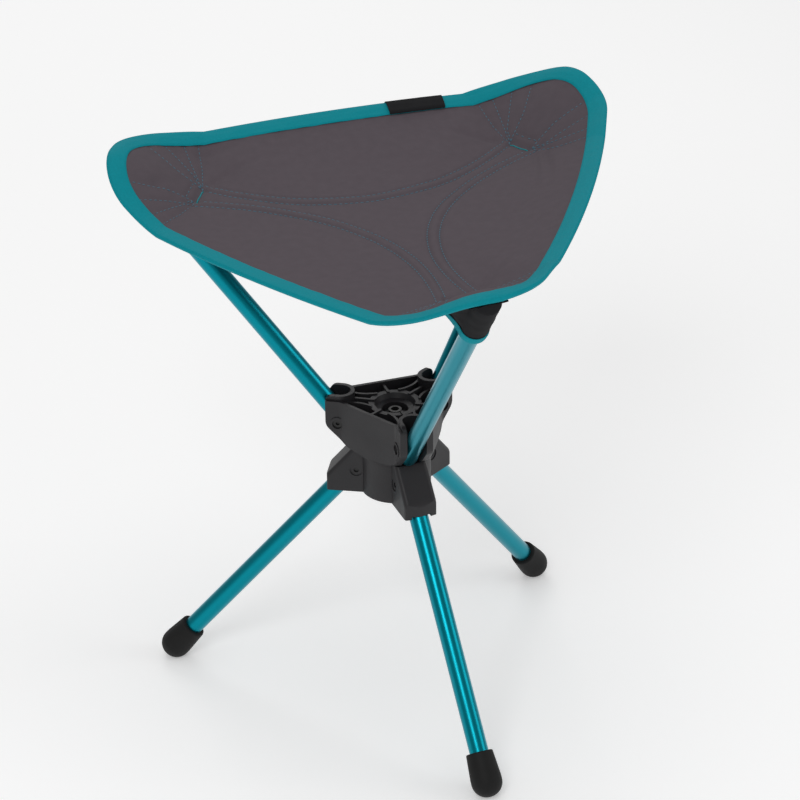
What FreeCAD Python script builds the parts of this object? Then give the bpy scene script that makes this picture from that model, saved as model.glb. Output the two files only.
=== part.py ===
"""Swivelling three-legged camp stool, built as separate pieces, in millimetres.

The origin is on the ground under the swivel axis. +Z is up and the front leg points along -Y.
The lower hub carries three legs that hinge inwards. The upper hub turns on it and carries three
arms, whose tips hold the corners of a fabric seat.
"""
import FreeCAD, Part
import math
import os

V = FreeCAD.Vector
ORIGIN = V(0, 0, 0)
UP = V(0, 0, 1)

# Fits
RUN_FIT = 0.05  # radial clearance of a pin in the piece that turns on it
CLEAR = 0.3  # gap between pieces that move past each other
FABRIC_GAP = 0.35  # gap between a tube and the fabric around it
PAST = 1.0  # how far a cutting shape runs past the face it opens
ROUND_SHARE = 0.97  # rounding of a domed end, as a share of its depth
TINY = 0.001

# Tubes of legs and arms
TUBE_R = 6.35
TUBE_WALL = 1.2

# Legs
LEG_LENGTH = 202.0  # pivot to the centre of the foot's round end
LEG_LEAN = 40.2  # from upright, when open
LEG_PIVOT_R = 25.0
LEG_ROOT = 7.0  # tube past its pivot
LEG_PIN_R = 1.75
LEG_PIN_INSET = 1.6  # how deep the pin's ends lie in the boot's sides
LEG_PLUG_LENGTH = 16.0
FOOT_R = 10.25
FOOT_MOUTH_R = 8.9
FOOT_SLEEVE = 19.5  # from the round end's centre up to the mouth
FOOT_SEAT = 3.5  # tube end past the round end's centre
FOOT_PAD_R = 2.7  # flat where the foot meets the ground
FOOT_LIP = 1.0  # rounding of the mouth's rim
FOOT_SHOULDER = 2.5  # where the sleeve's taper ends, above the round end's centre

# Lower hub
HUB_R = 23.3
HUB_BELOW = 16.2  # leg pivot to the underside
HUB_ABOVE = 15.2  # leg pivot to the top face
COLLAR_R = 25.4
COLLAR_H = 3.0
BOOT_R = 46.0
BOOT_HALF = 11.2
BOOT_WALL = 5.6  # over the open leg
BOOT_BROW_R = 7.0
BOOT_EDGE_R = 3.0  # rounding between its sides and its outer faces
BOOT_EYE_R = 4.2  # shallow round recess about the pin's hole
BOOT_EYE_DEPTH = 0.6

# Swivel
BOLT_R = 4.0
BOLT_FLANGE_R = 8.3
BOLT_FLANGE_H = 2.0
BOLT_COLLAR_R = 4.3
BOLT_COLLAR_H = 3.2
BOLT_SOCKET_R = 2.7
BOLT_FLANGE_GAP = 0.1  # between the flange and the upper hub
NUT_FLATS = 13.0
NUT_H = 7.5
NUT_INSET = 1.5  # nut's face above the hub's underside
NUT_WELL_R = 8.6
NUT_WASHER_R = 8.2
NUT_WASHER_H = 1.6
THRUST_R = 21.5
THRUST_H = 1.0
THRUST_PROUD = 0.3
SWIVEL_GAP = 0.4  # between the two hubs
SWIVEL_REST = -3.2  # the upper hub's turn from the legs

# Upper hub
WALL_OUT = 27.0  # axis to the outside of the three flat walls
WALL = 2.2
ROTOR_R = 46.0
ROTOR_FOOT_R = 25.3
ROTOR_HIP_R = 33.0
ROTOR_HIP_H = 2.7
ROTOR_CHEEK_H = 16.0  # bottom to the lowest point of the cheeks' outer edge
ROTOR_WALL_H = 34.2
ROTOR_HORN_H = 37.4
ROTOR_HIP_ROUND = 8.0
ROTOR_FOOT_ROUND = 2.0
ROTOR_HORN_ROUND = 5.0
ROTOR_FLOOR = 4.0
CHEEK_HALF = 11.2
CHEEK_BEND_R = 6.0  # where a flat wall bends into a cheek
CHEEK_EDGE_R = 1.5
HORN_HALF = 9.3
RING_R = 17.4
RING_H = 31.6
RING_DISH_R = 13.7
RING_DISH_H = 4.6
RING_DISH_STEP = 1.5  # how much narrower the dish is at its floor
RING_DISH_SLOPE = 1.2  # rise of its floor
PIT_R = 8.8
PIT_FLOOR = 21.6
RIB = 1.7
RIB_DROP = 1.6
RIB_WAIST = 6.5  # side ribs' distance from the middle one, halfway
RIB_SPREAD = 9.0  # and at their ends
RIB_TUCK = 2.0  # how far their outer ends run into the horn's round back
BOSS_R = 5.0
BOSS_PROUD = 0.6
ARM_PIN_R = 2.0
ARM_PIN_HEAD_R = 3.4
ARM_PIN_HEAD_H = 1.3
ARM_PIN_INSET = 0.5
ARM_PIN_SOCKET_R = 1.3

# Arms
ARM_LENGTH = 220.0  # pivot to the tube's tip
ARM_LEAN = 38.9  # from upright, when open
ARM_PIVOT_R = 36.5
ARM_PIVOT_UP = 17.7  # above the upper hub's underside
ARM_ROOT = 17.0  # tube past its pivot
ARM_PLUG_LENGTH = 26.0
TIP_DOME = 3.5
TIP_PLUG = 12.0

# Seat
SEAT_OVERHANG = 9.4  # tube tip to the corner's edge, measured outwards
SEAT_CORNER_R = 54.0
SEAT_BULGE = 7.0  # how far the sides bow out
SEAT_RISE = 14.0  # corner's edge above the tube's tip
SEAT_DISH = 40.5  # corner's edge above the seat's centre
SEAT_THICK = 1.6
BINDING_WIDTH = 13.0
BINDING_THICK = 0.8
POCKET_LENGTH = 34.0
POCKET_THICK = 1.2
POCKET_END = 6.0  # past the tube's tip
POCKET_BAND = 6.0
LABEL_WIDTH = 38.0
LABEL_DEPTH = 12.0
LABEL_THICK = 0.6
LABEL_ALONG = 54.0  # from the middle of the back edge, towards the right corner

SIDES = {"front": 270.0, "right": 30.0, "left": 150.0}

# Worked out from the sizes above
FOOT_Z = math.sqrt(FOOT_R**2 - FOOT_PAD_R**2)
LEG_PIVOT_Z = FOOT_Z + LEG_LENGTH * math.cos(math.radians(LEG_LEAN))
HUB_BOTTOM = LEG_PIVOT_Z - HUB_BELOW
HUB_TOP = LEG_PIVOT_Z + HUB_ABOVE
ROTOR_BOTTOM = HUB_TOP + SWIVEL_GAP
ARM_PIVOT_Z = ROTOR_BOTTOM + ARM_PIVOT_UP
TIP_R = ARM_PIVOT_R + ARM_LENGTH * math.sin(math.radians(ARM_LEAN))
TIP_Z = ARM_PIVOT_Z + ARM_LENGTH * math.cos(math.radians(ARM_LEAN))
SEAT_TIP_R = TIP_R + SEAT_OVERHANG
SEAT_CENTRE_Z = TIP_Z + SEAT_RISE - SEAT_DISH
SEAT_BALL_R = (SEAT_TIP_R**2 + SEAT_DISH**2) / (2 * SEAT_DISH)  # ball that the seat is part of
SLOT_HALF = TUBE_R + CLEAR
BORE_R = TUBE_R - TUBE_WALL
POCKET_IN = TUBE_R + FABRIC_GAP
POCKET_OUT = POCKET_IN + POCKET_THICK


def polar(radius, degrees, z=0.0):
    """Point at a radius and an azimuth."""
    angle = math.radians(degrees)
    return V(radius * math.cos(angle), radius * math.sin(angle), z)


def turned(shape, degrees):
    """Copy of a shape turned about the swivel axis."""
    copy = shape.copy()
    copy.rotate(ORIGIN, UP, degrees)
    return copy


def rod(radius, low, high, centre=ORIGIN):
    """Upright cylinder between two heights."""
    return Part.makeCylinder(radius, high - low, V(centre.x, centre.y, low), UP)


def cross_rod(radius, low, high, x, z):
    """Cylinder along Y at a place in the XZ plane."""
    return Part.makeCylinder(radius, high - low, V(x, low, z), V(0, 1, 0))


def rounded_face(points, radii):
    """Flat face from corner points, each rounded by its own radius."""
    edges = []
    count = len(points)
    spans = []
    for index, corner in enumerate(points):
        before = (points[index - 1] - corner).normalize()
        after = (points[(index + 1) % count] - corner).normalize()
        radius = radii[index]
        if radius <= 0:
            spans.append((corner, corner))
            continue
        half = before.getAngle(after) / 2
        reach = radius / math.tan(half)
        middle = (before + after).normalize()
        start = corner + before * reach
        end = corner + after * reach
        crown = corner + middle * (radius / math.sin(half) - radius)
        edges.append(Part.Arc(start, crown, end).toShape())
        spans.append((start, end))
    for index in range(count):
        start = spans[index][1]
        end = spans[(index + 1) % count][0]
        if start.distanceToPoint(end) > TINY:
            edges.append(Part.makeLine(start, end))
    wires = [Part.Wire(group) for group in Part.sortEdges(edges)]
    return Part.Face(wires[0])


def side_slab(pairs, half, radii=None):
    """Solid from an outline in the XZ plane, as thick as twice `half` along Y."""
    points = [V(x, -half, z) for x, z in pairs]
    face = rounded_face(points, radii or [0] * len(points))
    return face.extrude(V(0, 2 * half, 0))


def plan_slab(pairs, low, high, radii=None):
    """Solid from an outline in the XY plane between two heights."""
    points = [V(x, y, low) for x, y in pairs]
    face = rounded_face(points, radii or [0] * len(points))
    return face.extrude(V(0, 0, high - low))


def spun(corners):
    """Solid of revolution from an outline of (radius, height, rounding) corners."""
    points = [V(x, 0, z) for x, z, rounding in corners]
    face = rounded_face(points, [rounding for x, z, rounding in corners])
    return face.revolve(ORIGIN, UP, 360)


def softened(solid, radius, chosen):
    """Solid with the edges that `chosen` picks rounded."""
    edges = [edge for edge in solid.Edges if chosen(edge)]
    return solid.makeFillet(radius, edges)


def without(shape, tools):
    """Shape with each tool cut from it in turn."""
    for tool in tools:
        shape = shape.cut(tool)
    return shape


def on_leg(shape, azimuth):
    """Place a piece made along +Z from the leg's pivot down to the foot."""
    copy = shape.copy()
    copy.rotate(ORIGIN, V(0, 1, 0), 180 - LEG_LEAN)
    copy.translate(V(LEG_PIVOT_R, 0, LEG_PIVOT_Z))
    return turned(copy, azimuth)


def on_arm(shape, azimuth):
    """Place a piece made along +Z from the arm's pivot up to the tip."""
    copy = shape.copy()
    copy.rotate(ORIGIN, V(0, 1, 0), ARM_LEAN)
    copy.translate(V(ARM_PIVOT_R, 0, ARM_PIVOT_Z))
    return turned(copy, azimuth + SWIVEL_REST)


def tube(low, high, pin_radius):
    """Tube along Z with a cross hole for its pivot pin at the origin."""
    shape = rod(TUBE_R, low, high).cut(rod(BORE_R, low - PAST, high + PAST))
    hole = cross_rod(pin_radius + RUN_FIT, -TUBE_R - PAST, TUBE_R + PAST, 0, 0)
    return shape.cut(hole)


def root_plug(low, length, pin_radius):
    """Plastic plug in the tube's hinged end, with the bearing hole for the pin."""
    shape = rod(BORE_R, low, low + length)
    hole = cross_rod(pin_radius + RUN_FIT, -TUBE_R, TUBE_R, 0, 0)
    return shape.cut(hole)


def foot_cap():
    """Rubber foot with a round end, made along the leg."""
    mouth = LEG_LENGTH - FOOT_SLEEVE
    seat = LEG_LENGTH + FOOT_SEAT
    end = LEG_LENGTH + FOOT_R
    corners = [
        (0, seat, 0),
        (TUBE_R, seat, 0),
        (TUBE_R, mouth, 0),
        (FOOT_MOUTH_R, mouth, FOOT_LIP),
        (FOOT_R, LEG_LENGTH - FOOT_SHOULDER, 0),
        (FOOT_R, end, FOOT_R * ROUND_SHARE),
        (0, end, 0),
    ]
    return spun(corners)


def below_ground():
    """Block under the ground, which cuts the flat on each foot."""
    reach = 2 * SEAT_TIP_R
    return Part.makeBox(2 * reach, 2 * reach, FOOT_R, V(-reach, -reach, -FOOT_R))


def tip_cap():
    """Rounded plastic cap that closes an arm's tip inside the seat's pocket."""
    end = ARM_LENGTH + TIP_DOME
    corners = [
        (0, ARM_LENGTH - TIP_PLUG, 0),
        (BORE_R, ARM_LENGTH - TIP_PLUG, 0),
        (BORE_R, ARM_LENGTH, 0),
        (TUBE_R, ARM_LENGTH, 0),
        (TUBE_R, end, TIP_DOME * ROUND_SHARE),
        (0, end, 0),
    ]
    return spun(corners)


def leg_pin():
    """Steel pin along Y through a boot."""
    half = BOOT_HALF - LEG_PIN_INSET
    return cross_rod(LEG_PIN_R, -half, half, LEG_PIVOT_R, LEG_PIVOT_Z)


def arm_pin():
    """Pin with a round socket head at each end, through both cheeks."""
    end = CHEEK_HALF - ARM_PIN_INSET
    inner = end - ARM_PIN_HEAD_H
    pin = cross_rod(ARM_PIN_R, -end, end, ARM_PIVOT_R, ARM_PIVOT_Z)
    for low in (-end, inner):
        pin = pin.fuse(cross_rod(ARM_PIN_HEAD_R, low, low + ARM_PIN_HEAD_H, ARM_PIVOT_R, ARM_PIVOT_Z))
    for low in (-end, inner):
        pin = pin.cut(cross_rod(ARM_PIN_SOCKET_R, low, low + ARM_PIN_HEAD_H, ARM_PIVOT_R, ARM_PIVOT_Z))
    return pin.removeSplitter()


def leg_direction():
    """Unit steps in the XZ plane along the open leg and outwards from its upper side."""
    lean = math.radians(LEG_LEAN)
    return (math.sin(lean), -math.cos(lean)), (math.cos(lean), math.sin(lean))


def beside_leg(along, across):
    """Point in the XZ plane, measured from the leg's pivot along and across the open leg."""
    step, side = leg_direction()
    x = LEG_PIVOT_R + step[0] * along + side[0] * across
    z = LEG_PIVOT_Z + step[1] * along + side[1] * across
    return x, z


def boot():
    """Solid of one leg socket along +X, before its slot is cut."""
    step, side = leg_direction()
    brow = TUBE_R + CLEAR + BOOT_WALL
    nose = (BOOT_R - LEG_PIVOT_R - side[0] * brow) / step[0]
    crest = (HUB_TOP - LEG_PIVOT_Z - side[1] * brow) / step[1]
    profile = [
        (0, HUB_BOTTOM),
        (BOOT_R, HUB_BOTTOM),
        (BOOT_R, beside_leg(nose, brow)[1]),
        (beside_leg(crest, brow)[0], HUB_TOP),
        (0, HUB_TOP),
    ]
    shape = side_slab(profile, BOOT_HALF, [0, 0, BOOT_BROW_R, 0, 0])
    return softened(shape, BOOT_EDGE_R, is_boot_edge)


def is_boot_edge(edge):
    """True for the edges between a boot's flat sides and its nose, brow and sloping top."""
    middle = edge.CenterOfMass
    on_side = abs(abs(middle.y) - BOOT_HALF) < TINY
    return on_side and middle.x > HUB_R and middle.z > HUB_BOTTOM + PAST


def leg_slot():
    """Room for one leg between open and folded, along +X."""
    far = LEG_LENGTH / 3
    sweep = math.hypot(LEG_ROOT, TUBE_R) + CLEAR
    opened = [
        beside_leg(0, -SLOT_HALF),
        beside_leg(far, -SLOT_HALF),
        beside_leg(far, SLOT_HALF),
        beside_leg(0, SLOT_HALF),
    ]
    folded = [
        (LEG_PIVOT_R - SLOT_HALF, LEG_PIVOT_Z),
        (LEG_PIVOT_R + SLOT_HALF, LEG_PIVOT_Z),
        (LEG_PIVOT_R + SLOT_HALF, LEG_PIVOT_Z - far),
        (LEG_PIVOT_R - SLOT_HALF, LEG_PIVOT_Z - far),
    ]
    between = [(LEG_PIVOT_R, LEG_PIVOT_Z), beside_leg(far, 0), (LEG_PIVOT_R, LEG_PIVOT_Z - far)]
    slot = cross_rod(sweep, -SLOT_HALF, SLOT_HALF, LEG_PIVOT_R, LEG_PIVOT_Z)
    return slot.fuse([side_slab(shape, SLOT_HALF) for shape in (opened, folded, between)])


def lower_hub():
    """Fixed hub with a boot for each leg."""
    body = rod(HUB_R, HUB_BOTTOM, HUB_TOP)
    collar = Part.makeCone(HUB_R, COLLAR_R, COLLAR_H / 2, V(0, 0, HUB_TOP - COLLAR_H), UP)
    body = body.fuse([collar, rod(COLLAR_R, HUB_TOP - COLLAR_H / 2, HUB_TOP)])
    one_boot = boot()
    body = body.fuse([turned(one_boot, azimuth) for azimuth in SIDES.values()])
    cuts = [
        rod(BOLT_R, HUB_BOTTOM - PAST, HUB_TOP + PAST),
        rod(NUT_WELL_R, HUB_BOTTOM - PAST, nut_seat()),
        rod(THRUST_R, HUB_TOP + THRUST_PROUD - THRUST_H, HUB_TOP + PAST),
    ]
    slot = leg_slot()
    pin_hole = cross_rod(LEG_PIN_R, -BOOT_R, BOOT_R, LEG_PIVOT_R, LEG_PIVOT_Z)
    floor = BOOT_HALF - BOOT_EYE_DEPTH
    eyes = [
        cross_rod(BOOT_EYE_R, floor, BOOT_R, LEG_PIVOT_R, LEG_PIVOT_Z),
        cross_rod(BOOT_EYE_R, -BOOT_R, -floor, LEG_PIVOT_R, LEG_PIVOT_Z),
    ]
    keep_out = rod(BOOT_R, HUB_BOTTOM, HUB_TOP)
    for azimuth in SIDES.values():
        cuts.append(turned(slot, azimuth))
        cuts.append(turned(pin_hole.common(near_boot()), azimuth))
        cuts.extend(turned(eye.common(near_boot()), azimuth) for eye in eyes)
    return without(body, cuts).common(keep_out).removeSplitter()


def near_boot():
    """Block about one boot, which keeps its pin's hole off the other boots."""
    reach = BOOT_HALF + PAST
    return Part.makeBox(BOOT_R, 2 * reach, BOOT_R, V(HUB_R / 2, -reach, HUB_BOTTOM))


def nut_seat():
    """Height of the face that the nut's washer pulls against."""
    return HUB_BOTTOM + NUT_INSET + NUT_H + NUT_WASHER_H


def swivel_nut():
    """Hexagonal lock nut under the lower hub."""
    corner = NUT_FLATS / math.sqrt(3)
    low = HUB_BOTTOM + NUT_INSET
    points = [polar(corner, 60 * turn, low) for turn in range(6)]
    hexagon = Part.Face(Part.makePolygon(points + [points[0]])).extrude(V(0, 0, NUT_H))
    return hexagon.cut(rod(BOLT_R, low - PAST, low + NUT_H + PAST))


def nut_washer():
    """Flat washer between the nut and the lower hub."""
    low = nut_seat() - NUT_WASHER_H
    return rod(NUT_WASHER_R, low, nut_seat()).cut(rod(BOLT_R, low - PAST, nut_seat() + PAST))


def thrust_washer():
    """Slippery ring between the two hubs, let into the lower one."""
    high = HUB_TOP + THRUST_PROUD
    return rod(THRUST_R, high - THRUST_H, high).cut(rod(BOLT_R, HUB_BOTTOM, high + PAST))


def swivel_bolt():
    """Bolt that the upper hub turns on, with a flanged socket head."""
    seat = ROTOR_BOTTOM + PIT_FLOOR + BOLT_FLANGE_GAP
    collar_top = seat + BOLT_FLANGE_H + BOLT_COLLAR_H
    bolt = rod(BOLT_R, HUB_BOTTOM + NUT_INSET / 2, seat)
    flange = rod(BOLT_FLANGE_R, seat, seat + BOLT_FLANGE_H)
    collar = rod(BOLT_COLLAR_R, seat, collar_top)
    socket = rod(BOLT_SOCKET_R, seat + BOLT_FLANGE_H / 2, collar_top + PAST)
    return bolt.fuse([flange, collar]).cut(socket).removeSplitter()


def wall_corner():
    """Where a flat wall of the upper hub bends into a cheek, along the arm."""
    bend = math.radians(60)
    return (WALL_OUT - CHEEK_HALF * math.sin(bend)) / math.cos(bend)


def rotor_plan(low, high):
    """Three-sided block with a pair of cheeks at each corner."""
    corner = wall_corner()
    outline = [(corner, -CHEEK_HALF), (ROTOR_R, -CHEEK_HALF), (ROTOR_R, CHEEK_HALF), (corner, CHEEK_HALF)]
    bends = (CHEEK_BEND_R, CHEEK_EDGE_R, CHEEK_EDGE_R, CHEEK_BEND_R)
    points = []
    radii = []
    for step in range(3):
        for (x, y), radius in zip(outline, bends):
            points.append(turned_point(x, y, 120 * step))
            radii.append(radius)
    return plan_slab(points, low, high, radii)


def turned_point(x, y, degrees):
    """Point of a plan turned about the swivel axis."""
    angle = math.radians(degrees)
    return x * math.cos(angle) - y * math.sin(angle), x * math.sin(angle) + y * math.cos(angle)


def rotor_envelope():
    """Body of revolution that rounds the upper hub's underside and outer top edge."""
    top = ROTOR_BOTTOM + ROTOR_HORN_H
    return spun([
        (0, ROTOR_BOTTOM, 0),
        (ROTOR_FOOT_R, ROTOR_BOTTOM, 0),
        (ROTOR_HIP_R, ROTOR_BOTTOM + ROTOR_HIP_H, ROTOR_FOOT_ROUND),
        (ROTOR_R, ROTOR_BOTTOM + ROTOR_CHEEK_H, ROTOR_HIP_ROUND),
        (ROTOR_R, top, ROTOR_HORN_ROUND),
        (0, top, 0),
    ])


def horn(low, high):
    """Surround of one arm's channel along +X, rounded at the back."""
    back = rod(HORN_HALF, low, high, V(ARM_PIVOT_R, 0, 0))
    front = Part.makeBox(ROTOR_R - ARM_PIVOT_R, 2 * HORN_HALF, high - low, V(ARM_PIVOT_R, -HORN_HALF, low))
    return back.fuse(front)


def triangle(apothem, low, high):
    """Three-sided prism with its corners towards the arms."""
    points = [polar(2 * apothem, 120 * step, low) for step in range(3)]
    return Part.Face(Part.makePolygon(points + [points[0]])).extrude(V(0, 0, high - low))


def ribs(low, high):
    """Ribs between the central ring and one corner, and to the wall beside it."""
    reach = ARM_PIVOT_R - HORN_HALF
    middle = Part.makeBox(reach, RIB, high - low, V(0, -RIB / 2, low))
    to_wall = turned(Part.makeBox(WALL_OUT - WALL / 2, RIB, high - low, V(0, -RIB / 2, low)), 60)
    sides = []
    for sign in (-1, 1):
        start = V(RING_DISH_R, sign * RIB_SPREAD, low)
        crown = V((RING_R + ARM_PIVOT_R) / 2, sign * RIB_WAIST, low)
        end = V(ARM_PIVOT_R - RIB_TUCK, sign * RIB_SPREAD, low)
        sides.append(curved_rib(start, crown, end, high - low))
    return [middle, to_wall] + sides


def curved_rib(start, crown, end, height):
    """Upright rib along an arc, with an even thickness."""
    chord = (end - start).normalize()
    aside = V(-chord.y, chord.x, 0) * (RIB / 2)
    one = Part.Arc(start + aside, crown + aside, end + aside).toShape()
    two = Part.Arc(start - aside, crown - aside, end - aside).toShape()
    wire = Part.Wire([
        one,
        Part.makeLine(end + aside, end - aside),
        two,
        Part.makeLine(start - aside, start + aside),
    ])
    return Part.Face(wire).extrude(V(0, 0, height))


def arm_channel():
    """Room for one arm between open and folded, along +X."""
    lean = math.radians(ARM_LEAN)
    along = V(math.sin(lean), 0, math.cos(lean))
    inwards = V(-math.cos(lean), 0, math.sin(lean))
    pivot = V(ARM_PIVOT_R, 0, ARM_PIVOT_Z)
    sweep = math.hypot(ARM_ROOT, TUBE_R) + CLEAR
    top = ROTOR_BOTTOM + ROTOR_HORN_H + PAST
    bottom = ARM_PIVOT_Z - sweep
    mouth = Part.makeBox(ROTOR_R, 2 * SLOT_HALF, top - bottom, V(ARM_PIVOT_R, -SLOT_HALF, bottom))
    folded = rod(SLOT_HALF, bottom, top, V(ARM_PIVOT_R, 0, 0))
    foot = pivot - along * (ARM_ROOT + CLEAR)
    opened = Part.makeCylinder(SLOT_HALF, ARM_ROOT + ROTOR_R, foot, along)
    corner = pivot + inwards * SLOT_HALF
    deep = corner - along * sweep
    below = [
        (corner.x, corner.z),
        (deep.x, deep.z),
        (deep.x, bottom),
        (ARM_PIVOT_R, bottom),
        (ARM_PIVOT_R, ARM_PIVOT_Z),
    ]
    wedge = side_slab(below, SLOT_HALF)
    turning = cross_rod(sweep, -SLOT_HALF, SLOT_HALF, ARM_PIVOT_R, ARM_PIVOT_Z)
    return mouth.fuse([folded, opened, wedge.common(turning)])


def upper_hub():
    """Turning hub with a channel for each arm, ribbed inside and open at the top."""
    wall_top = ROTOR_BOTTOM + ROTOR_WALL_H
    horn_top = ROTOR_BOTTOM + ROTOR_HORN_H
    floor = ROTOR_BOTTOM + ROTOR_FLOOR
    rib_top = wall_top - RIB_DROP
    thirds = (0, 120, 240)
    horns = [turned(horn(ROTOR_BOTTOM, horn_top), azimuth) for azimuth in thirds]
    block = rotor_plan(ROTOR_BOTTOM, wall_top).fuse(horns).common(rotor_envelope())
    ring = rod(RING_R, ROTOR_BOTTOM, ROTOR_BOTTOM + RING_H)
    braces = []
    for azimuth in thirds:
        braces.extend(turned(rib, azimuth) for rib in ribs(ROTOR_BOTTOM, rib_top))
    hollow = triangle(WALL_OUT - WALL, floor, horn_top + PAST)
    hollow = without(hollow, horns + [ring] + braces)
    end = CHEEK_HALF + BOSS_PROUD
    bosses = []
    cuts = [hollow, rod(BOLT_R + RUN_FIT, ROTOR_BOTTOM - PAST, horn_top), ring_recess()]
    for azimuth in thirds:
        bosses.append(turned(cross_rod(BOSS_R, -end, end, ARM_PIVOT_R, ARM_PIVOT_Z), azimuth))
        cuts.append(turned(arm_channel(), azimuth))
        cuts.extend(turned(hole, azimuth) for hole in arm_pin_holes())
    shape = without(block.fuse(bosses), cuts).Solids[0]
    return turned(shape, SIDES["front"] + SWIVEL_REST)


def ring_recess():
    """Stepped recess in the central ring that shows the bolt's head."""
    top = ROTOR_BOTTOM + RING_H
    return spun([
        (0, ROTOR_BOTTOM + PIT_FLOOR, 0),
        (PIT_R, ROTOR_BOTTOM + PIT_FLOOR, 0),
        (PIT_R, top - RING_DISH_H, 0),
        (RING_DISH_R - RING_DISH_STEP, top - RING_DISH_H + RING_DISH_SLOPE, 0),
        (RING_DISH_R, top, 0),
        (RING_DISH_R, top + PAST, 0),
        (0, top + PAST, 0),
    ])


def arm_pin_holes():
    """Hole through both cheeks and the wells for the pin's heads, along +X."""
    end = CHEEK_HALF + WALL_OUT
    well = CHEEK_HALF - ARM_PIN_INSET - ARM_PIN_HEAD_H
    hole = cross_rod(ARM_PIN_R, -well - PAST, well + PAST, ARM_PIVOT_R, ARM_PIVOT_Z)
    wells = [
        cross_rod(ARM_PIN_HEAD_R, well, end, ARM_PIVOT_R, ARM_PIVOT_Z),
        cross_rod(ARM_PIN_HEAD_R, -end, -well, ARM_PIVOT_R, ARM_PIVOT_Z),
    ]
    reach = CHEEK_HALF + BOSS_PROUD + PAST
    near = Part.makeBox(BOOT_R, 2 * reach, BOOT_R, V(ROTOR_FOOT_R, -reach, ROTOR_BOTTOM))
    return [hole] + [shape.common(near) for shape in wells]


def ball(drop):
    """Ball whose lower side is the seat's upper face, or lies below that by a drop."""
    return Part.makeSphere(SEAT_BALL_R + drop, V(0, 0, SEAT_CENTRE_Z + SEAT_BALL_R))


def seat_layer(drop, rise, grow):
    """Dished sheet between a drop under the seat's upper face and a rise over it."""
    return outline(grow).common(ball(drop)).cut(ball(-rise))


def outline(grow):
    """Upright prism of the seat's rounded triangle, grown or shrunk evenly."""
    reach = SEAT_TIP_R - SEAT_CORNER_R
    side = reach / 2 + SEAT_BULGE
    shift = (reach**2 - side**2) / (2 * SEAT_BULGE)
    side_r = shift + side + SEAT_CORNER_R
    low = SEAT_CENTRE_Z - SEAT_DISH
    edges = []
    for azimuth in (0, 120, 240):
        corner = polar(reach, azimuth, low)
        joints = []
        for turn in (-60, 60):
            centre = polar(-shift, azimuth + turn, low)
            joints.append(centre + (corner - centre).normalize() * (side_r + grow))
        crown = polar(SEAT_TIP_R + grow, azimuth, low)
        edges.append(Part.Arc(joints[0], crown, joints[1]).toShape())
        middle = polar(side + SEAT_CORNER_R + grow, azimuth + 60, low)
        far = FreeCAD.Rotation(UP, 120).multVec(joints[0])
        edges.append(Part.Arc(joints[1], middle, far).toShape())
    face = Part.Face(Part.Wire(Part.sortEdges(edges)[0]))
    prism = face.extrude(V(0, 0, 3 * SEAT_DISH))
    return turned(prism, SIDES["front"] + SWIVEL_REST)


def seat_panel():
    """Fabric panel of the seat."""
    return seat_layer(SEAT_THICK, 0, 0)


def seat_binding(panel):
    """Tape folded around the panel's edge."""
    layer = seat_layer(SEAT_THICK + BINDING_THICK, BINDING_THICK, BINDING_THICK)
    return layer.cut(outline(-BINDING_WIDTH)).cut(panel)


def seat_label():
    """Small woven label folded over the back edge."""
    thick = BINDING_THICK + LABEL_THICK
    edge = (SEAT_TIP_R - SEAT_CORNER_R) / 2 + SEAT_BULGE + SEAT_CORNER_R
    near = V(edge - LABEL_DEPTH, -LABEL_WIDTH / 2 - LABEL_ALONG, SEAT_CENTRE_Z)
    block = Part.makeBox(2 * LABEL_DEPTH, LABEL_WIDTH, SEAT_DISH, near)
    block = turned(block, SIDES["front"] + 180 + SWIVEL_REST)
    outer = seat_layer(SEAT_THICK + thick, thick, thick)
    inner = seat_layer(SEAT_THICK + BINDING_THICK, BINDING_THICK, BINDING_THICK)
    return outer.common(block).cut(inner)


def around_tip(radius, low, high):
    """Block about an arm's tip, round on the outer side and open towards the seat."""
    round_side = rod(radius, low, high)
    seat_side = Part.makeBox(4 * radius, 2 * radius, high - low, V(-4 * radius, -radius, low))
    return round_side.fuse(seat_side)


def under_seat():
    """Everything under the seat's panel and binding."""
    return outline(-CLEAR).cut(ball(SEAT_THICK + BINDING_THICK + CLEAR))


def seat_pocket(azimuth, room):
    """Fabric pocket under a corner of the seat, which the arm's tip pushes into."""
    low = ARM_LENGTH - POCKET_LENGTH
    high = ARM_LENGTH + POCKET_END
    bag = around_tip(POCKET_OUT, low, high).cut(around_tip(POCKET_IN, low - PAST, high - POCKET_THICK))
    return on_arm(bag, azimuth).common(room)


def pocket_binding(azimuth, room):
    """Tape around the pocket's mouth."""
    low = ARM_LENGTH - POCKET_LENGTH - BINDING_THICK
    high = low + POCKET_BAND
    outer = around_tip(POCKET_OUT + BINDING_THICK, low, high)
    band = outer.cut(around_tip(POCKET_OUT, low + BINDING_THICK, high + PAST))
    band = band.cut(around_tip(POCKET_IN, low - PAST, high))
    return on_arm(band, azimuth).common(room)


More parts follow.
